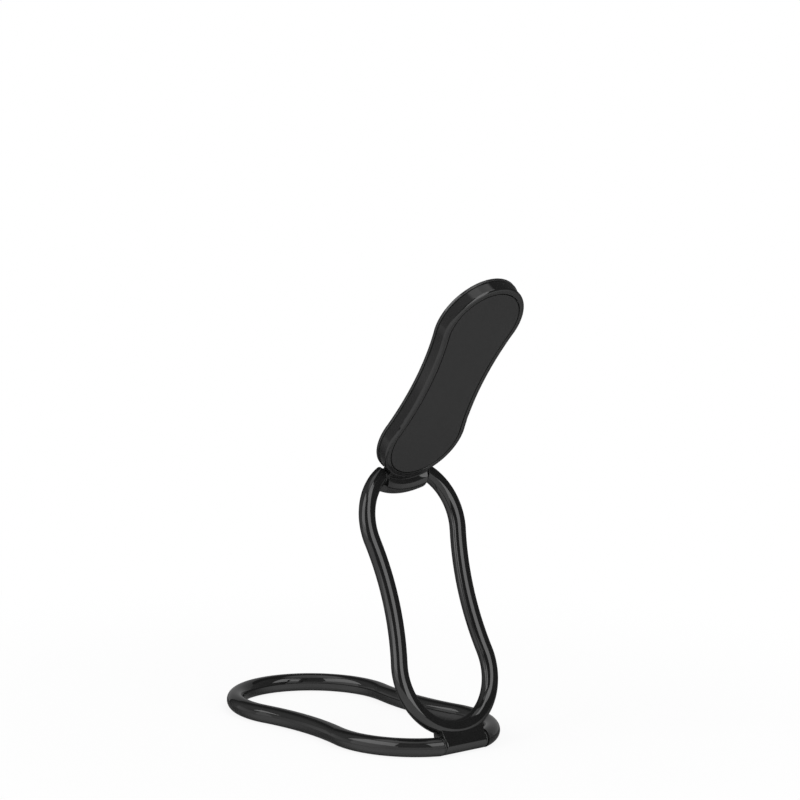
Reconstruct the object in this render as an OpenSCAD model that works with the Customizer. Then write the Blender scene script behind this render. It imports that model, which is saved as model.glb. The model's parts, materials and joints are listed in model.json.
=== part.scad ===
// Folding ring holder: a waisted magnetic plate with two nested wire rings on friction hinges.
// Millimetres, +Z up. The lower ring lies on the surface, the upper ring stands on it and
// carries the plate. Folded, the plate lies inside the upper ring and both inside the lower one.

/* [Mount plate] */
// Length of the plate over both round ends
plate_length = 49; // [45:0.2:54]
// Width of the plate across its round ends
plate_width = 19.6; // [17.5:0.1:21]
// Width of the plate at its waist
waist_width = 16.2; // [14:0.1:17]
// Thickness of the adhesive pad
pad_thk = 0.6; // [0.4:0.05:0.8]
// Thickness of the base plate that closes the housing
base_thk = 0.5; // [0.4:0.05:0.7]
// How far the base plate stands out past the housing wall
base_lip = 0.25; // [0.1:0.05:0.35]
// Height of the housing above the base plate
housing_thk = 2.6; // [2.45:0.05:3.2]
// Rounding of the housing's front edge
edge_round = 0.5; // [0.3:0.05:0.7]
// Width of the rim round the face panel
rim_width = 1.2; // [0.9:0.1:1.6]
// Thickness of the face panel
panel_thk = 0.4; // [0.3:0.05:0.5]
// Thickness of the film that bonds the face panel
tape_thk = 0.1; // [0.05:0.05:0.15]
// How far the face panel lies below the rim
panel_sink = 0.05; // [0.02:0.01:0.1]
// Open groove between the face panel and the rim
panel_groove = 0.12; // [0.08:0.02:0.2]
// How far the pad and the film stay inside the edge they lie against
film_inset = 0.5; // [0.3:0.1:0.9]

/* [Magnets] */
// Diameter of the two magnets in the round ends
end_magnet_d = 13; // [10:0.5:14]
// Diameter of the magnet at the waist
waist_magnet_d = 11; // [8:0.5:12]
// Thickness of the magnets
magnet_thk = 1.1; // [0.8:0.05:1.2]
// Thickness of the steel yoke plate behind the magnets
yoke_thk = 0.4; // [0.3:0.05:0.45]
// Wall of the housing round the yoke plate
housing_wall = 1.1; // [0.9:0.1:1.4]

/* [Rings] */
// Wire diameter of the upper ring
upper_wire_d = 3.4; // [3:0.1:3.6]
// Wire diameter of the lower ring
lower_wire_d = 3.8; // [3.6:0.1:4.4]
// Gap all round between the plate and the folded upper ring
plate_gap = 0.45; // [0.4:0.05:1]
// Gap all round between the upper ring and the folded lower ring
ring_gap = 1.1; // [0.7:0.05:1.6]
// Extra gap between the plate's free end and the folded upper ring
plate_end_gap = 1.16; // [0.6:0.02:1.8]
// Extra gap between the upper knuckle and the folded lower ring
ring_end_gap = 0.8; // [0.4:0.05:1.6]
// How far the upper ring's end at the lower knuckle is set out toward its hinge
ring_offset = 0.5; // [0.2:0.05:0.6]

/* [Hinges] */
// Length of the upper knuckle between its flanges
upper_knuckle_len = 10.6; // [10:0.1:11.6]
// Length of the lower knuckle between its flanges
lower_knuckle_len = 11; // [10:0.1:12]
// Diameter of the upper hinge pins
upper_pin_d = 1.2; // [1:0.05:1.3]
// Diameter of the lower hinge pins
lower_pin_d = 1.4; // [1.1:0.05:1.5]
// Wall of the friction bushes
bush_wall = 0.35; // [0.25:0.05:0.4]
// Length of a bush inside its knuckle
bush_len = 3.2; // [2.6:0.1:4]
// Thickness of a bush's flange
flange_thk = 0.3; // [0.2:0.05:0.4]
// How far a flange's edge stays inside the knuckle's surface
flange_step = 0.1; // [0.05:0.05:0.3]
// Thickness of the spring washers
washer_thk = 0.25; // [0.15:0.05:0.35]
// How far a washer's edge stays inside the knuckle's surface
washer_step = 0.25; // [0.15:0.05:0.4]
// Depth of a pin in the ring's arm
pin_seat = 1.6; // [1.2:0.1:1.8]
// Diameter of the bead that forms the upper knuckle
bead_d = 4.3; // [4:0.1:4.4]
// How far the bead is set out past the upper ring's wire when folded
bead_out = 0.55; // [0.2:0.05:0.7]
// How far the bead is set in front of the hinge axis
bead_front = 0.4; // [0.3:0.05:0.6]
// Wall of the upper knuckle round its bushes
knuckle_wall = 0.4; // [0.3:0.05:0.5]
// Half thickness of the lower knuckle where it meets the upper ring
knuckle_neck = 1.3; // [1.1:0.05:1.4]
// Rounding of the lower knuckle's end edges
end_round = 0.6; // [0.3:0.1:0.8]

/* [Stand pose] */
// Angle of the plate above the surface
stand_angle = 56.5; // [50:0.5:65]
// Angle of the upper ring above the surface
ring_angle = 69.8; // [65:0.2:75]

/* [Fits] */
// Radial gap between a turning pin and its bush
run_gap = 0.05; // [0.02:0.01:0.08]
// Radial gap between parts that are pressed or bonded together
seat_gap = 0.02; // [0.01:0.01:0.04]
// Side play between a washer and the flange it runs on
side_play = 0.05; // [0.03:0.01:0.1]
// Gap round pieces that drop into a pocket
pocket_gap = 0.05; // [0.03:0.01:0.1]
// Gap between the base plate's straight end and the upper knuckle
notch_gap = 0.15; // [0.1:0.05:0.3]

/* [Hidden] */
$fn = 96;

black_metal = "#1d1d1f";
black_matte = "#333335";
black_plastic = "#242426";
steel = "#b9bcc0";
magnet_silver = "#d4d6d8";
pad_grey = "#4a4a4c";

upper_r = upper_wire_d/2;
lower_r = lower_wire_d/2;

// A waisted outline has two round ends of radius end_r, whose centres are 2*half_span apart,
// and sides that pull in to waist_r from the middle along arcs of radius side_radius().
function side_radius(end_r, half_span, waist_r) =
    (waist_r*waist_r + half_span*half_span - end_r*end_r)/(2*(end_r - waist_r));
function tangent_angle(end_r, half_span, waist_r) =
    atan2(half_span, waist_r + side_radius(end_r, half_span, waist_r));

plate_r = plate_width/2;
plate_span = plate_length/2 - plate_r;
plate_waist = waist_width/2;

upper_lobe_r = plate_r + plate_gap + upper_r;
upper_waist = plate_waist + plate_gap + upper_r;
upper_span = plate_span + plate_end_gap/2;

lower_lobe_r = upper_lobe_r + upper_r + ring_gap + lower_r;
lower_waist = upper_waist + upper_r + ring_gap + lower_r;
lower_span = upper_span + (ring_end_gap - ring_offset)/2;

// Half of the opening between a ring's two arms, where flanges, washers and knuckle fit
hinge_stack = flange_thk + washer_thk + 2*side_play;
upper_half_gap = upper_knuckle_len/2 + hinge_stack;
lower_half_gap = lower_knuckle_len/2 + hinge_stack;

// Distance from a hinge axis to the centre of the round end that the arms belong to
upper_reach = sqrt(upper_lobe_r*upper_lobe_r - upper_half_gap*upper_half_gap);
lower_reach = sqrt(lower_lobe_r*lower_lobe_r - lower_half_gap*lower_half_gap);
hinge_span = lower_reach - ring_offset + 2*upper_span + upper_reach;
wire_at_knuckle = lower_reach - ring_offset - upper_lobe_r;

// Heights in the plate's own frame, from the hinge axis, which is level with the folded rings
pad_back = -lower_r;
base_back = pad_back + pad_thk;
housing_back = base_back + base_thk;
housing_front = housing_back + housing_thk;
yoke_front = housing_back + yoke_thk;
magnet_front = yoke_front + magnet_thk;
panel_front = housing_front - panel_sink;
panel_back = panel_front - panel_thk;
film_back = panel_back - tape_thk;
plate_far = upper_reach + 2*plate_span + plate_r;

upper_pin_r = upper_pin_d/2;
lower_pin_r = lower_pin_d/2;
upper_bush_r = upper_pin_r + run_gap + bush_wall;
lower_bush_r = lower_pin_r + run_gap + bush_wall;

// Sides are set in by a hair where they meet the round ends, so that the two cross cleanly
side_step = 0.02;
bead_r = bead_d/2;
bead_path = upper_lobe_r + bead_out;
// Degrees by which the bead runs past the flat cuts at its ends
bead_run = 8;
// The web joins the bead to the housing and covers the boss that holds the bushes
boss_r = upper_bush_r + knuckle_wall;
web_front = boss_r + side_step;
web_step = 0.1;
web_half_w = upper_knuckle_len/2 - web_step;
web_reach = upper_reach - sqrt(plate_r*plate_r - web_half_w*web_half_w) + housing_wall/2;
wire_step = 0.01;
// How far the side arcs of a wire run into its round ends
run_in = 0.3;
// The arcs start this far inside the arm's end and are cut off flat there
arm_overlap = 1;
// Cutting shapes reach this far past what they cut
past = 1;

plate_dir = 180 - stand_angle;
plate_turn = plate_dir - ring_angle;
axis_y = hinge_span*cos(ring_angle);
axis_z = lower_r + hinge_span*sin(ring_angle);
// The foremost point of the plate's rounded front edge and the lower ring's tip give the middle
front_y = axis_y + (plate_far - edge_round)*cos(plate_dir)
    - (housing_front - edge_round)*sin(plate_dir) - edge_round;
tip_y = lower_reach + 2*lower_span + lower_lobe_r + lower_r;
mid_y = (front_y + tip_y)/2;

module lower_frame() {
    translate([0, -mid_y, lower_r]) children();
}

module upper_frame() {
    lower_frame() rotate([ring_angle, 0, 0]) children();
}

module plate_frame() {
    upper_frame() translate([0, hinge_span, 0]) rotate([plate_turn, 0, 0]) children();
}

// The plate's outline is drawn about its middle
module plate_middle() {
    plate_frame() translate([0, upper_reach + plate_span, 0]) children();
}

// A cylinder along X from x0 to x1
module rod_x(r, x0, x1) {
    translate([x0, 0, 0]) rotate([0, 90, 0]) cylinder(r = r, h = x1 - x0);
}

// Places a piece on the right and its mirror image on the left
module on_side(side) {
    mirror([side == "left" ? 1 : 0, 0, 0]) children();
}

module wire_arc(path_r, wire_r, from, to) {
    rotate([0, 0, from]) rotate_extrude(angle = to - from) translate([path_r, 0]) circle(r = wire_r);
}

// A wire bent to the waisted outline about its middle, open between two arms at its -Y end.
// The side arcs are a hair thinner and run a little way into the round ends, which hides the joins.
module open_loop(end_r, half_span, waist_r, wire_r, half_gap) {
    side_r = side_radius(end_r, half_span, waist_r);
    tilt = tangent_angle(end_r, half_span, waist_r);
    side_tilt = tilt + run_in/side_r*180/PI;
    arm_start = asin((half_gap - arm_overlap)/end_r) - 90;
    translate([0, half_span, 0]) wire_arc(end_r, wire_r, -tilt, 180 + tilt);
    for (turn = [0, 1]) mirror([turn, 0, 0]) {
        translate([waist_r + side_r, 0, 0])
            wire_arc(side_r, wire_r - wire_step, 180 - side_tilt, 180 + side_tilt);
        translate([0, -half_span, 0]) wire_arc(end_r, wire_r, arm_start, tilt);
    }
}

// Arms cut off flat at the hinge axis, with a pin hole in each end
module hinged_ends(half_gap, pin_r, reach) {
    difference() {
        children();
        translate([-half_gap, -reach, -reach]) cube([2*half_gap, 2*reach, 2*reach]);
        rod_x(pin_r + seat_gap, -half_gap - pin_seat, half_gap + pin_seat);
    }
}

// Blind holes for the bushes at both ends of a knuckle
module bush_holes(bush_r, knuckle_len) {
    for (turn = [0, 1]) mirror([turn, 0, 0])
        rod_x(bush_r + seat_gap, knuckle_len/2 - bush_len, knuckle_len/2 + past);
}

// Two circles on a line and the straight flanks that touch both
module tapered_section(r0, r1, distance) {
    lean = asin((r0 - r1)/distance);
    circle(r = r0);
    translate([distance, 0]) circle(r = r1);
    polygon([
        [r0*sin(lean), r0*cos(lean)],
        [distance + r1*sin(lean), r1*cos(lean)],
        [distance + r1*sin(lean), -r1*cos(lean)],
        [r0*sin(lean), -r0*cos(lean)]
    ]);
}

module bush(pin_r, bush_r, knuckle_r, knuckle_len) {
    end = knuckle_len/2;
    difference() {
        union() {
            rod_x(bush_r, end - bush_len, end);
            rod_x(knuckle_r - flange_step, end, end + flange_thk);
        }
        rod_x(pin_r + run_gap, end - bush_len - past, end + flange_thk + past);
    }
}

module washer(pin_r, knuckle_r, half_gap) {
    difference() {
        rod_x(knuckle_r - washer_step, half_gap - washer_thk, half_gap);
        rod_x(pin_r + run_gap, half_gap - washer_thk - past, half_gap + past);
    }
}

module pin(pin_r, knuckle_len, half_gap) {
    rod_x(pin_r, knuckle_len/2 - bush_len + side_play, half_gap + pin_seat - side_play);
}

// Slab of the plate's outline, drawn about its middle
module waisted_slab(inset, z0, z1) {
    end_r = plate_r - inset;
    waist_r = plate_waist - inset;
    side_r = side_radius(end_r, plate_span, waist_r);
    side_x = end_r*cos(tangent_angle(end_r, plate_span, waist_r));
    for (turn = [0, 1]) mirror([0, turn, 0]) translate([0, plate_span, z0])
        cylinder(r = end_r, h = z1 - z0);
    difference() {
        translate([-side_x, -plate_span, z0]) cube([2*side_x, 2*plate_span, z1 - z0]);
        for (turn = [0, 1]) mirror([turn, 0, 0]) translate([waist_r + side_r, 0, z0 - past])
            cylinder(r = side_r + side_step, h = z1 - z0 + 2*past);
    }
}

// Section of a round end with its front edge rounded
module lobe_section(end_r, height, round) {
    square([end_r, height - round]);
    square([end_r - round, height]);
    intersection() {
        translate([end_r - round, height - round]) circle(r = round);
        square([end_r, height]);
    }
}

// Section of the cutter that hollows a side and leaves the same rounded edge
module side_section(side_r, height, round) {
    translate([0, -past]) square([side_r, height + 2*past]);
    difference() {
        translate([0, height - round]) square([side_r + round, round + past]);
        translate([side_r + round, height - round]) circle(r = round);
    }
}

// Waisted body with a rounded front edge, standing on z = 0 about its middle. Its two round
// ends are turned, and the sides between them are hollowed by cutters with the same edge.
module rounded_body(end_r, half_span, waist_r, height, round) {
    side_r = side_radius(end_r, half_span, waist_r);
    tilt = tangent_angle(end_r, half_span, waist_r);
    far_x = (end_r + past)*cos(tilt);
    far_y = half_span - (end_r + past)*sin(tilt);
    for (turn = [0, 1]) mirror([0, turn, 0]) translate([0, half_span, 0])
        rotate_extrude() lobe_section(end_r, height, round);
    difference() {
        linear_extrude(height = height) polygon([
            [0, half_span], [far_x, far_y], [far_x, -far_y],
            [0, -half_span], [-far_x, -far_y], [-far_x, far_y]
        ]);
        for (turn = [0, 1]) mirror([turn, 0, 0]) translate([waist_r + side_r, 0, 0])
            rotate_extrude() side_section(side_r + side_step, height, round);
    }
}

// Bead of the upper knuckle, which follows the upper ring's curve when that is folded
module knuckle_bead() {
    half = upper_knuckle_len/2;
    spread = asin(half/bead_path) + bead_run;
    translate([0, 0, bead_front]) intersection() {
        translate([0, upper_reach, 0]) wire_arc(bead_path, bead_r, -90 - spread, -90 + spread);
        translate([-half, -bead_path, -bead_d]) cube([2*half, 2*bead_path, 2*bead_d]);
    }
}

// Tapered block of the lower knuckle, its end edges rounded front and back
module knuckle_block() {
    half = lower_knuckle_len/2;
    front = lower_r + side_step;
    intersection() {
        rotate([90, 0, 90]) linear_extrude(height = 2*half, center = true)
            tapered_section(lower_r, knuckle_neck, wire_at_knuckle);
        translate([0, wire_at_knuckle + lower_r, 0]) rotate([90, 0, 0])
            linear_extrude(height = wire_at_knuckle + 2*lower_r + past) {
                square([2*(half - end_round), 2*front], center = true);
                square([2*half, 2*(front - end_round)], center = true);
                for (x = [-1, 1], z = [-1, 1])
                    translate([x*(half - end_round), z*(front - end_round)]) circle(r = end_round);
            }
    }
}

module lower_ring() {
    color(black_metal) lower_frame()
        hinged_ends(lower_half_gap, lower_pin_r, lower_reach)
            translate([0, lower_reach + lower_span, 0])
                open_loop(lower_lobe_r, lower_span, lower_waist, lower_r, lower_half_gap);
}

module lower_pin(side) {
    color(steel) lower_frame() on_side(side) pin(lower_pin_r, lower_knuckle_len, lower_half_gap);
}

module lower_washer(side) {
    color(steel) lower_frame() on_side(side) washer(lower_pin_r, lower_r, lower_half_gap);
}

module lower_bush(side) {
    color(black_plastic) upper_frame() on_side(side)
        bush(lower_pin_r, lower_bush_r, lower_r, lower_knuckle_len);
}

module upper_ring() {
    color(black_metal) upper_frame() {
        difference() {
            union() {
                translate([0, hinge_span, 0]) rotate([0, 0, 180])
                    hinged_ends(upper_half_gap, upper_pin_r, upper_reach)
                        translate([0, upper_reach + upper_span, 0])
                            open_loop(upper_lobe_r, upper_span, upper_waist, upper_r, upper_half_gap);
                knuckle_block();
            }
            bush_holes(lower_bush_r, lower_knuckle_len);
        }
    }
}

module upper_pin(side) {
    color(steel) upper_frame() translate([0, hinge_span, 0]) on_side(side)
        pin(upper_pin_r, upper_knuckle_len, upper_half_gap);
}

module upper_washer(side) {
    color(steel) upper_frame() translate([0, hinge_span, 0]) on_side(side)
        washer(upper_pin_r, upper_r, upper_half_gap);
}

module upper_bush(side) {
    color(black_plastic) plate_frame() on_side(side)
        bush(upper_pin_r, upper_bush_r, upper_r, upper_knuckle_len);
}

module housing() {
    color(black_metal) difference() {
        union() {
            plate_middle() translate([0, 0, housing_back])
                rounded_body(plate_r, plate_span, plate_waist, housing_thk, edge_round);
            plate_frame() {
                rod_x(boss_r, -web_half_w, web_half_w);
                knuckle_bead();
                translate([-web_half_w, -boss_r/2, housing_back])
                    cube([2*web_half_w, boss_r/2 + web_reach, web_front - housing_back]);
            }
        }
        plate_middle() {
            waisted_slab(housing_wall, housing_back - past, yoke_front);
            waisted_slab(rim_width, film_back, housing_front + past);
            magnet_places(pocket_gap, yoke_front - past, magnet_front);
        }
        plate_frame() bush_holes(upper_bush_r, upper_knuckle_len);
    }
}

module magnet_places(gap, z0, z1) {
    for (turn = [0, 1]) mirror([0, turn, 0]) translate([0, plate_span, z0])
        cylinder(r = end_magnet_d/2 + gap, h = z1 - z0);
    translate([0, 0, z0]) cylinder(r = waist_magnet_d/2 + gap, h = z1 - z0);
}

module end_magnet(end) {
    color(magnet_silver) plate_middle() translate([0, end*plate_span, yoke_front])
        cylinder(d = end_magnet_d, h = magnet_thk);
}

module waist_magnet() {
    color(magnet_silver) plate_middle() translate([0, 0, yoke_front])
        cylinder(d = waist_magnet_d, h = magnet_thk);
}

module yoke_plate() {
    color(steel) plate_middle() waisted_slab(housing_wall + pocket_gap, housing_back, yoke_front);
}

// A sheet behind the housing, with a straight end that clears the upper knuckle
module back_sheet(inset, z0, z1) {
    straight_end = upper_r + notch_gap + inset + base_lip;
    difference() {
        plate_middle() waisted_slab(inset, z0, z1);
        plate_frame() translate([-plate_width, -plate_width + straight_end, z0 - past])
            cube([2*plate_width, plate_width, z1 - z0 + 2*past]);
    }
}

module base_plate() {
    color(black_metal) back_sheet(-base_lip, base_back, housing_back);
}

module adhesive_pad() {
    color(pad_grey) back_sheet(film_inset, pad_back, base_back);
}

module panel_film() {
    color(pad_grey) plate_middle() waisted_slab(rim_width + film_inset, film_back, panel_back);
}

module face_panel() {
    color(black_matte) plate_middle()
        waisted_slab(rim_width + panel_groove, panel_back, panel_front);
}

lower_ring();
lower_pin("left");  // lower_pin_left
lower_pin("right");  // lower_pin_right
lower_washer("left");  // lower_washer_left
lower_washer("right");  // lower_washer_right
lower_bush("left");  // lower_bush_left
lower_bush("right");  // lower_bush_right
upper_ring();
upper_pin("left");  // upper_pin_left
upper_pin("right");  // upper_pin_right
upper_washer("left");  // upper_washer_left
upper_washer("right");  // upper_washer_right
upper_bush("left");  // upper_bush_left
upper_bush("right");  // upper_bush_right
housing();
base_plate();
adhesive_pad();
yoke_plate();
end_magnet(-1);  // magnet_lower
waist_magnet();  // magnet_waist
end_magnet(1);  // magnet_upper
panel_film();
face_panel();
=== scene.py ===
"""Studio scene of a folding ring holder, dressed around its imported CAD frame. Metres, +Z up."""

import json
import math

import bmesh
import bpy
from mathutils import Matrix, Vector


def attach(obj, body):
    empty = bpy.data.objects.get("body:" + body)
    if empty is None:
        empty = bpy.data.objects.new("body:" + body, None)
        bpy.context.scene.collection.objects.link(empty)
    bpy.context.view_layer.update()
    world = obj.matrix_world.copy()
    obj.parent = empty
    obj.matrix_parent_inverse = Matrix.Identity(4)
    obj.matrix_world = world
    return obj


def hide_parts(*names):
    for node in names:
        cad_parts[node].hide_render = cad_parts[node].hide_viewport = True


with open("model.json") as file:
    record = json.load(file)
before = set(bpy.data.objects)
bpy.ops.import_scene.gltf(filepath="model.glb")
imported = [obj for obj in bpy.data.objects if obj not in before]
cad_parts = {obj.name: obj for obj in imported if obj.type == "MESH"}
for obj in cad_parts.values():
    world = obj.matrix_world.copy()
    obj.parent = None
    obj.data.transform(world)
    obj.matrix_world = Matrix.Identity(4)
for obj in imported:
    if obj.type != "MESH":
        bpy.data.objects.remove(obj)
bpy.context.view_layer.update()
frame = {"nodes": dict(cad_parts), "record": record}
nodes = frame["nodes"]

MM = 0.001

# Camera, solved from the photograph's view
CAMERA_AT = Vector((-0.4062, -0.46371, 0.1530))
CAMERA_RIGHT = Vector((0.7484, -0.66304, 0.01737))
CAMERA_UP = Vector((0.0770, 0.1129, 0.9906))
LENS_MM = 135.98
SENSOR_MM = 36.0

# Directions of the studio, seen from the part
AIM = Vector((0.0, 0.0, 0.045))
TO_CAMERA = (CAMERA_AT - AIM).normalized()
CAMERA_AZIMUTH = math.degrees(math.atan2(TO_CAMERA.y, TO_CAMERA.x))

# The plate's frame in mm: the upper hinge's axis, the way up the plate and out of its front
HINGE_AT = Vector((0.0, -8.459, 54.358))
PLATE_UP = Vector((0.0, -0.55194, 0.83389))
PLATE_OUT = Vector((0.0, -0.83389, -0.55194))

# The foam pad in mm, as the CAD pad lies in the plate's frame
PAD_MIDDLE = 25.063
PAD_END_R = 9.3
PAD_HALF_SPAN = 14.7
PAD_WAIST = 7.6
PAD_CUT = 2.600
PAD_BACK = -1.9
PAD_FRONT = -1.3
PAD_SPINE_INSET = 1.0
PAD_DENT = 0.012
PAD_STEPS = 24
PAD_MERGE = 0.0005

# The pad's section from its back, round its cut edge, to its front. Each row is how far out from
# the spine and how deep from the back, both from 0 to 1.
PAD_SECTION = (
    (0.0, 0.0),
    (0.25, 0.0),
    (0.5, 0.0),
    (0.7, 0.0),
    (0.85, 0.0),
    (0.95, 0.0),
    (0.985, 0.02),
    (0.995, 0.1),
    (1.0, 0.28),
    (0.997, 0.6),
    (1.0, 0.85),
    (0.996, 1.0),
    (0.5, 1.0),
    (0.0, 1.0),
)

# Scales of the finishes' noise, in features per metre
ENAMEL_CLOUD = 160.0
ENAMEL_PEEL = 2600.0
ENAMEL_SPECK = 9000.0
PANEL_GRAIN = 7000.0
PANEL_CLOUD = 110.0
FOAM_CELLS = 3200.0
FOAM_CLOUD = 220.0

# Fine lines of bare metal along x, y and z: turned round the hinges' axis, or ground all ways
TURNED = (9000.0, 400.0, 400.0)
GROUND = (900.0, 900.0, 900.0)

# Depths of the finishes' bumps, and the width of the painted shade along the panel's edge, in mm
PEEL_DEPTH = 0.004
GRAIN_DEPTH = 0.012
CELL_DEPTH = 0.03
LINE_DEPTH = 0.004
PAINTED_GROOVE_SHADE_WIDTH = 0.32

# Levels of the studio, where 1 is white. FLOOR_NEAR is the least white share of the floor.
AMBIENT = 0.35
ROOM_DARK = 0.05
ROOM_LEFT = 0.38
ROOM_TOP = 0.85
FLOOR_AHEAD = 1.0
FLOOR_BEHIND = 0.12
FLOOR_UNDER = 0.7
FLOOR_NEAR = 0.88
FLOOR_COLOUR = 0.93

# Where the levels that gloss sees change over, by how far a direction points left, up or ahead
LEFT_AZIMUTH = -82.0
LEFT_CHANGE = (0.45, 0.95)
TOP_CHANGE = (0.89, 0.95)
AHEAD_CHANGE = (-0.65, 0.4)
HORIZON_CHANGE = (-0.17, -0.07)
UNDER_CHANGE = (-0.97, -0.75)

# The floor in metres. Its shadow shows most inside the first radius and not beyond the second.
FLOOR_AT = -0.02 * MM
FLOOR_RADIUS = 3.0
FLOOR_SEGMENTS = 96
SHADOW_RADII = (0.05, 0.16)

# Pieces that some lamps leave out or light alone
LOW_RING = ("lower_ring",)
LOW_RING_AND_PLATE = ("lower_ring", "housing", "face_panel")

# Upright softboxes and pale cards. Each row is a name, the edges as seen from the part in degrees
# (left, right, low and high, sideways from the camera's side), the level and the pieces left out.
BOX_DISTANCE = 1.2
BOXES = (
    ("left_box", -78.0, -37.0, 9.0, 55.0, 2.4, LOW_RING_AND_PLATE),
    ("left_card", -80.0, -38.0, -7.0, 9.0, 1.4, LOW_RING_AND_PLATE),
    ("right_box", 7.0, 52.0, -7.0, 60.0, 2.9, LOW_RING),
)

# The box overhead: its azimuth and elevation in degrees, its sides in metres and its level
OVERHEAD_AZIMUTH = 40.0
OVERHEAD_ELEVATION = 68.0
OVERHEAD_WIDTH = 1.0
OVERHEAD_DEPTH = 0.36
OVERHEAD_LEVEL = 2.4

# Boxes and cards for the ring on the table alone. Its boxes start above the cards that it faces.
LOW_RING_BOXES = (
    ("low_left_box", -90.0, -20.0, 27.0, 64.0, 2.35),
    ("low_right_box", 28.0, 79.0, 25.0, 59.0, 2.5),
    ("low_left_card", -80.0, -15.0, -7.0, 27.0, 0.75),
    ("low_side_card", -118.0, -80.0, -7.0, 13.0, 0.25),
    ("low_middle_card", -15.0, 28.0, -7.0, 12.0, 0.75),
    ("low_gap_card", -20.0, 28.0, 12.0, 60.0, 0.2),
    ("low_right_card", 28.0, 50.0, -7.0, 23.0, 0.8),
    ("low_far_card", 60.0, 130.0, -7.0, 58.0, 0.15),
    ("low_back_card", 130.0, 215.0, -7.0, 35.0, 0.25),
)


def place(name, data):
    """Puts a new object with this data in the scene."""
    thing = bpy.data.objects.new(name, data)
    bpy.context.scene.collection.objects.link(thing)
    return thing


def make_camera():
    right = CAMERA_RIGHT.normalized()
    back = right.cross(CAMERA_UP).normalized()
    up = back.cross(right)
    data = bpy.data.cameras.new("camera")
    data.sensor_fit = "HORIZONTAL"
    data.sensor_width = SENSOR_MM
    data.lens = LENS_MM
    data.clip_start = 0.01
    data.clip_end = 100.0
    camera = place("camera", data)
    turn = Matrix((right, up, back)).transposed().to_4x4()
    camera.matrix_world = Matrix.Translation(CAMERA_AT) @ turn
    bpy.context.scene.camera = camera


class Nodes:
    """Short calls for building one node tree."""

    def __init__(self, tree):
        self.tree = tree
        tree.nodes.clear()

    def add(self, kind, *ordered, **named):
        """A node whose inputs are given in their order, by their names or both."""
        node = self.tree.nodes.new(kind)
        for key, value in [*enumerate(ordered), *named.items()]:
            self.put(node, key, value)
        return node

    def put(self, node, key, value):
        """Links an input to a socket, or sets it to a value."""
        if isinstance(value, bpy.types.NodeSocket):
            self.tree.links.new(value, node.inputs[key])
        else:
            node.inputs[key].default_value = value

    def math(self, operation, a, b=0.0):
        node = self.add("ShaderNodeMath", a, b)
        node.operation = operation
        return node.outputs[0]

    def dot(self, a, b):
        node = self.add("ShaderNodeVectorMath", a, b)
        node.operation = "DOT_PRODUCT"
        return node.outputs["Value"]

    def length(self, vector):
        node = self.add("ShaderNodeVectorMath", vector)
        node.operation = "LENGTH"
        return node.outputs["Value"]

    def ramp(self, value, low, high, to_low=0.0, to_high=1.0, smooth=False):
        node = self.add("ShaderNodeMapRange", value, low, high, to_low, to_high)
        node.interpolation_type = "SMOOTHSTEP" if smooth else "LINEAR"
        return node.outputs[0]

    def noise(self, vector, scale, detail, rough=0.5):
        inputs = {"Vector": vector, "Scale": scale, "Detail": detail, "Roughness": rough}
        return self.add("ShaderNodeTexNoise", **inputs).outputs[0]

    def bump(self, height, strength, depth, **normal):
        inputs = {"Height": height, "Strength": strength, "Distance": depth * MM}
        return self.add("ShaderNodeBump", **inputs, **normal).outputs[0]

    def mix(self, factor, a, b):
        """A mix of two colours. Its inputs 6 and 7 are the ones for colour."""
        node = self.tree.nodes.new("ShaderNodeMix")
        node.data_type = "RGBA"
        self.put(node, 0, factor)
        self.put(node, 6, a)
        self.put(node, 7, b)
        return node.outputs[2]

    def point(self):
        """The place on the object, in metres."""
        return self.add("ShaderNodeTexCoord").outputs["Object"]

    def edges(self, radius, samples, low, high):
        """The normal rounded over edges, and how near an edge a point is, from 0 to 1."""
        soft = self.add("ShaderNodeBevel", Radius=radius * MM)
        soft.samples = samples
        rounded = soft.outputs[0]
        flat = self.add("ShaderNodeNewGeometry").outputs["Normal"]
        return rounded, self.ramp(self.dot(rounded, flat), low, high)

    def ray_kinds(self):
        """Whether a ray is of what is seen and whether it is of gloss, each 0 or 1."""
        path = self.add("ShaderNodeLightPath").outputs
        seen = self.math("MAXIMUM", path["Is Camera Ray"], path["Is Transmission Ray"])
        return seen, path["Is Glossy Ray"]

    def finish(self, colour, roughness, normal, **named):
        """The material's one shader and its output."""
        inputs = {"Base Color": colour, "Roughness": roughness, "Normal": normal}
        shader = self.add("ShaderNodeBsdfPrincipled", **inputs, **named)
        self.add("ShaderNodeOutputMaterial", Surface=shader.outputs[0])
        return shader


def grey(value):
    return (value, value, value, 1.0)


def new_material(name):
    material = bpy.data.materials.new(name)
    material.use_nodes = True
    return material, Nodes(material.node_tree)


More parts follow.
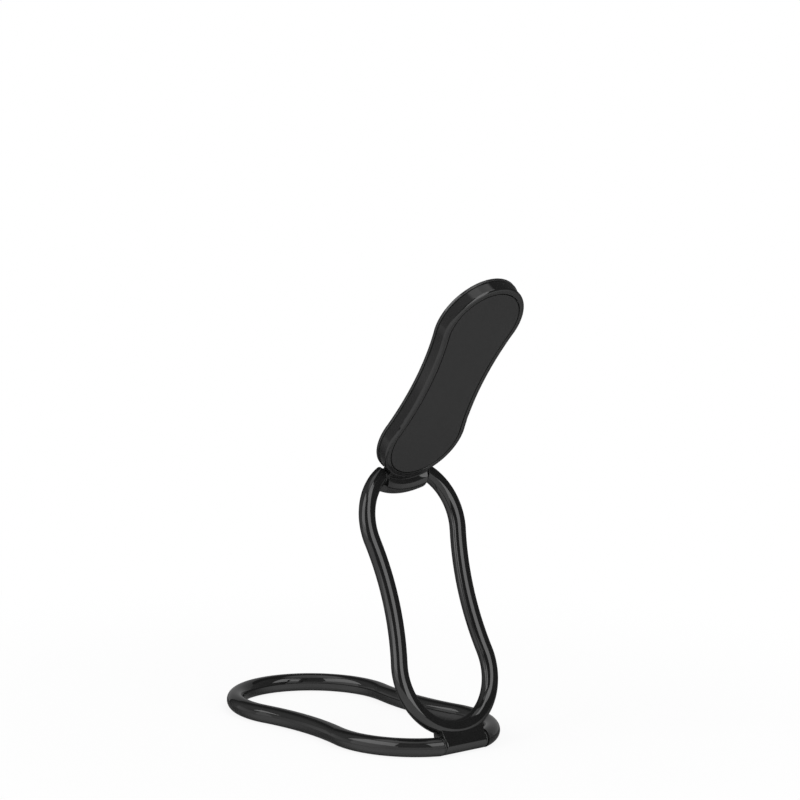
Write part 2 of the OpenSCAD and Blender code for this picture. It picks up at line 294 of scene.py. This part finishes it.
def black_enamel(name, base, rough, edge=0.14):
    """Sprayed and baked black: faint orange peel and haze that varies. Its edges are lighter,
    partly worn, thin paint and partly a painted highlight.
    """
    material, n = new_material(name)
    at = n.point()
    cloud = n.noise(at, ENAMEL_CLOUD, 4.0)
    peel = n.noise(at, ENAMEL_PEEL, 2.0)
    speck = n.noise(at, ENAMEL_SPECK, 1.0)
    rounded, near_edge = n.edges(edge, 6, 0.98, 0.8)
    # Painted highlight and wear: edges are made lighter and rougher, partly as worn paint and
    # partly as a painted highlight along them
    wear_and_edge_highlight = n.math("MULTIPLY", near_edge, n.ramp(cloud, 0.35, 0.65, 0.3, 1.0))
    haze = n.ramp(cloud, 0.3, 0.7, rough * 0.8, rough * 1.3)
    specks = n.ramp(speck, 0.62, 0.8, 0.0, 0.03)
    roughness = n.math("ADD", n.math("ADD", haze, specks), n.math("MULTIPLY", wear_and_edge_highlight, 0.04))
    paint = n.mix(n.ramp(cloud, 0.25, 0.75), grey(base * 0.85), grey(base * 1.15))
    colour = n.mix(n.math("MULTIPLY", wear_and_edge_highlight, 0.6), paint, grey(base + 0.03))
    normal = n.bump(peel, 0.15, PEEL_DEPTH, Normal=rounded)
    n.finish(colour, roughness, normal, IOR=1.5)
    return material


def matt_panel(name, base):
    """Fine-grained matt coating of the face panel, with painted shade along its edge: a dark,
    metallic band that stands in for the shadow in the groove round it.
    """
    material, n = new_material(name)
    at = n.point()
    grain = n.noise(at, PANEL_GRAIN, 3.0, 0.65)
    cloud = n.noise(at, PANEL_CLOUD, 3.0)
    # Painted shade: near the panel's edge the colour goes nearly black and metallic, to stand in
    # for the groove's shadow
    _, painted_groove_shade = n.edges(PAINTED_GROOVE_SHADE_WIDTH, 8, 0.998, 0.955)
    coat = n.mix(n.ramp(grain, 0.3, 0.7), grey(base * 0.9), grey(base * 1.1))
    colour = n.mix(painted_groove_shade, coat, grey(0.001))
    roughness = n.ramp(cloud, 0.3, 0.7, 0.58, 0.68)
    normal = n.bump(grain, 0.5, GRAIN_DEPTH)
    shader = n.finish(colour, roughness, normal, Metallic=painted_groove_shade)
    shader.inputs["Specular IOR Level"].default_value = 0.35
    return material


def foam(name, base):
    """Closed-cell adhesive foam: small round cells and a soft, dull face."""
    material, n = new_material(name)
    at = n.point()
    cells = n.add("ShaderNodeTexVoronoi", Vector=at, Scale=FOAM_CELLS).outputs["Distance"]
    cloud = n.noise(at, FOAM_CLOUD, 3.0)
    colour = n.mix(n.ramp(cells, 0.1, 0.8), grey(base * 0.75), grey(base * 1.15))
    roughness = n.ramp(cloud, 0.3, 0.7, 0.72, 0.88)
    normal = n.bump(cells, 0.6, CELL_DEPTH)
    shader = n.finish(colour, roughness, normal)
    shader.inputs["Specular IOR Level"].default_value = 0.3
    return material


def bare_metal(name, base, rough, scale):
    """Bare metal with fine lines, closest along the axis where the scale is largest."""
    material, n = new_material(name)
    stretched = n.add("ShaderNodeMapping", Vector=n.point(), Scale=scale).outputs[0]
    lines = n.noise(stretched, 1.0, 3.0)
    colour = n.mix(n.ramp(lines, 0.3, 0.7), grey(base * 0.88), grey(base))
    roughness = n.ramp(lines, 0.3, 0.7, rough - 0.06, rough + 0.08)
    normal = n.bump(lines, 0.3, LINE_DEPTH)
    n.finish(colour, roughness, normal, Metallic=1.0)
    return material


def waisted_outline(end_r, half_span, waist, steps):
    """Two round ends joined by side arcs that draw the middle in, once round, anticlockwise."""
    side_r = (half_span**2 + waist**2 - end_r**2) / (2.0 * (end_r - waist))
    tangent = math.atan2(half_span, waist + side_r)
    quarter = []
    for i in range(steps + 1):
        a = math.pi - tangent * i / steps
        quarter.append((waist + side_r + side_r * math.cos(a), side_r * math.sin(a)))
    for i in range(1, 2 * steps + 1):
        a = -tangent + (math.pi / 2.0 + tangent) * i / (2 * steps)
        quarter.append((end_r * math.cos(a), half_span + end_r * math.sin(a)))
    top = quarter + [(-x, y) for x, y in reversed(quarter[:-1])]
    return top + [(-x, -y) for x, y in top[1:-1]]


def dent_at(x, y):
    """How far the pad's back is pressed in at a point, never less than nothing."""
    wave = math.sin(1.9 * x + 0.7 * y) + math.sin(0.6 * x - 1.3 * y + 1.0)
    return PAD_DENT * (2.0 + wave)


def make_pad():
    """The foam pad: a cut sheet with soft, slightly rounded edges and a faintly uneven back."""
    reach = PAD_HALF_SPAN - PAD_SPINE_INSET
    outline = []
    spine = []
    for x, y in waisted_outline(PAD_END_R, PAD_HALF_SPAN, PAD_WAIST, PAD_STEPS):
        y = max(y + PAD_MIDDLE, PAD_CUT)
        outline.append(Vector((x, y)))
        spine.append(Vector((0.0, PAD_MIDDLE + max(-reach, min(reach, y - PAD_MIDDLE)))))
    shape = bmesh.new()
    rings = []
    for share, deep in PAD_SECTION:
        ring = []
        for edge, core in zip(outline, spine):
            x, y = core + share * (edge - core)
            out = PAD_BACK + deep * (PAD_FRONT - PAD_BACK)
            if deep == 0.0:
                out += dent_at(x, y)
            at = HINGE_AT + Vector((x, 0.0, 0.0)) + y * PLATE_UP + out * PLATE_OUT
            ring.append(shape.verts.new(at * MM))
        rings.append(ring)
    for low, high in zip(rings, rings[1:]):
        for i in range(len(outline)):
            j = (i + 1) % len(outline)
            shape.faces.new((low[i], low[j], high[j], high[i]))
    bmesh.ops.remove_doubles(shape, verts=shape.verts, dist=PAD_MERGE * MM)
    bmesh.ops.recalc_face_normals(shape, faces=shape.faces)
    for face in shape.faces:
        face.smooth = True
    mesh = bpy.data.meshes.new("foam_pad")
    shape.to_mesh(mesh)
    shape.free()
    pad = place("foam_pad", mesh)
    pad.data.materials.append(foam("pad_foam_skin", 0.045))
    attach(pad, "plate_body")
    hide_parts("adhesive_pad")


def dress():
    """Gives every CAD node the finish of its own material slot."""
    finishes = {
        "ring_black": black_enamel("ring_enamel", 0.008, 0.038),
        "housing_black": black_enamel("housing_enamel", 0.010, 0.045),
        "base_black": black_enamel("base_enamel", 0.016, 0.06, edge=0.25),
        "panel_black": matt_panel("panel_coating", 0.016),
        "pin_steel": bare_metal("pin_steel", 0.55, 0.30, TURNED),
        "washer_steel": bare_metal("washer_steel", 0.06, 0.34, TURNED),
        "bush_black": black_enamel("bush_polymer", 0.018, 0.08, edge=0.22),
        "yoke_steel": bare_metal("yoke_steel", 0.50, 0.40, GROUND),
        "magnet_nickel": bare_metal("magnet_nickel", 0.72, 0.18, GROUND),
        "pad_foam": foam("pad_foam", 0.045),
        "film_clear_grey": foam("bonding_film", 0.16),
    }
    slot_of = {row["node"]: row["material_slot"] for row in frame["record"]["subparts"]}
    for name, node in nodes.items():
        node.data.materials.clear()
        node.data.materials.append(finishes[slot_of[name]])


def direction(azimuth, elevation=0.0):
    """A direction of length 1, by degrees round from the camera's side and degrees up."""
    a = math.radians(CAMERA_AZIMUTH + azimuth)
    e = math.radians(elevation)
    return Vector((math.cos(e) * math.cos(a), math.cos(e) * math.sin(a), math.sin(e)))


def softbox(name, at, facing, width, height, level):
    """A rectangular lamp, placed from the aim. Gloss sees it at its level, where 1 is white."""
    data = bpy.data.lights.new(name, "AREA")
    data.shape = "RECTANGLE"
    data.size = width
    data.size_y = height
    data.energy = level * math.pi * width * height
    lamp = place(name, data)
    lamp.location = AIM + at
    lamp.rotation_euler = facing.to_track_quat("Z", "Y").to_euler()
    return lamp


def standing_box(name, left, right, low, high, level):
    """A softbox that stands upright, given by its edges as seen from the part, in degrees."""
    facing = direction((left + right) / 2.0)
    width = 2.0 * BOX_DISTANCE * math.tan(math.radians(right - left) / 2.0)
    bottom = BOX_DISTANCE * math.tan(math.radians(low))
    top = BOX_DISTANCE * math.tan(math.radians(high))
    at = BOX_DISTANCE * facing + Vector((0.0, 0.0, (bottom + top) / 2.0))
    return softbox(name, at, facing, width, top - bottom, level)


def room_in_gloss(n):
    """What gloss sees: a dim room, paler on the left and overhead, over a white table."""
    at = n.add("ShaderNodeTexCoord").outputs["Generated"]
    up = n.dot(at, (0.0, 0.0, 1.0))
    # A little over 1, so that nothing is divided by 0 straight up and straight down
    level_length = n.math("SQRT", n.math("SUBTRACT", 1.0001, n.math("MULTIPLY", up, up)))
    to_left = n.math("DIVIDE", n.dot(at, direction(LEFT_AZIMUTH)), level_length)
    left = n.ramp(to_left, *LEFT_CHANGE, ROOM_DARK, ROOM_LEFT, smooth=True)
    top = n.ramp(up, *TOP_CHANGE, 0.0, ROOM_TOP, smooth=True)
    room = n.math("ADD", left, top)
    ahead = n.dot(at, direction(0.0))
    near = n.ramp(ahead, *AHEAD_CHANGE, FLOOR_BEHIND, FLOOR_AHEAD, smooth=True)
    under = n.ramp(up, *UNDER_CHANGE, FLOOR_UNDER, 1.0, smooth=True)
    table = n.math("MULTIPLY", near, under)
    above = n.ramp(up, *HORIZON_CHANGE, smooth=True)
    below = n.math("SUBTRACT", 1.0, above)
    return n.math("ADD", n.math("MULTIPLY", above, room), n.math("MULTIPLY", below, table))


def make_world():
    """White where it is seen, the room where gloss sees it, and a dim level for other light."""
    world = bpy.data.worlds.new("studio")
    world.use_nodes = True
    bpy.context.scene.world = world
    n = Nodes(world.node_tree)
    seen, glossy = n.ray_kinds()
    gloss_level = n.math("MULTIPLY", glossy, room_in_gloss(n))
    dim_level = n.math("MULTIPLY", n.math("SUBTRACT", 1.0, glossy), AMBIENT)
    level = n.math("MAXIMUM", seen, n.math("ADD", gloss_level, dim_level))
    back = n.add("ShaderNodeBackground", Color=grey(1.0), Strength=level)
    n.add("ShaderNodeOutputWorld", Surface=back.outputs[0])


def make_floor():
    """White table top that keeps the part's soft shadow; gloss sees the world's table instead."""
    mesh = bpy.data.meshes.new("floor")
    shape = bmesh.new()
    bmesh.ops.create_circle(shape, cap_ends=True, segments=FLOOR_SEGMENTS, radius=FLOOR_RADIUS)
    shape.to_mesh(mesh)
    shape.free()
    floor = place("floor", mesh)
    floor.location.z = FLOOR_AT
    floor.visible_glossy = False
    material, n = new_material("floor")
    far = n.ramp(n.length(n.point()), *SHADOW_RADII, FLOOR_NEAR, 1.0, smooth=True)
    seen, _ = n.ray_kinds()
    matt = n.add("ShaderNodeBsdfDiffuse", Color=grey(FLOOR_COLOUR))
    glow = n.add("ShaderNodeEmission", Color=grey(1.0), Strength=1.0)
    share = n.math("MULTIPLY", seen, far)
    both = n.add("ShaderNodeMixShader", share, matt.outputs[0], glow.outputs[0])
    n.add("ShaderNodeOutputMaterial", Surface=both.outputs[0])
    floor.data.materials.append(material)


def flag(lamp, names, state):
    """Keeps a lamp's light off these pieces, or on them alone, as black cards beside them do."""
    flagged = bpy.data.collections.new(lamp.name + "_flag")
    for name in names:
        flagged.objects.link(nodes[name])
    for row in flagged.collection_objects:
        row.light_linking.link_state = state
    lamp.light_linking.receiver_collection = flagged


def make_lights():
    """Tall softboxes left and right with a dark gap between them, one overhead, and pale cards."""
    for *box, left_out in BOXES:
        flag(standing_box(*box), left_out, "EXCLUDE")
    facing = direction(OVERHEAD_AZIMUTH, OVERHEAD_ELEVATION)
    size = (OVERHEAD_WIDTH, OVERHEAD_DEPTH)
    overhead = softbox("overhead", BOX_DISTANCE * facing, facing, *size, OVERHEAD_LEVEL)
    flag(overhead, LOW_RING, "EXCLUDE")
    for box in LOW_RING_BOXES:
        flag(standing_box(*box), LOW_RING, "INCLUDE")


make_camera()
make_world()
make_floor()
make_lights()
dress()
make_pad()

bpy.context.scene.view_settings.view_transform = "Standard"
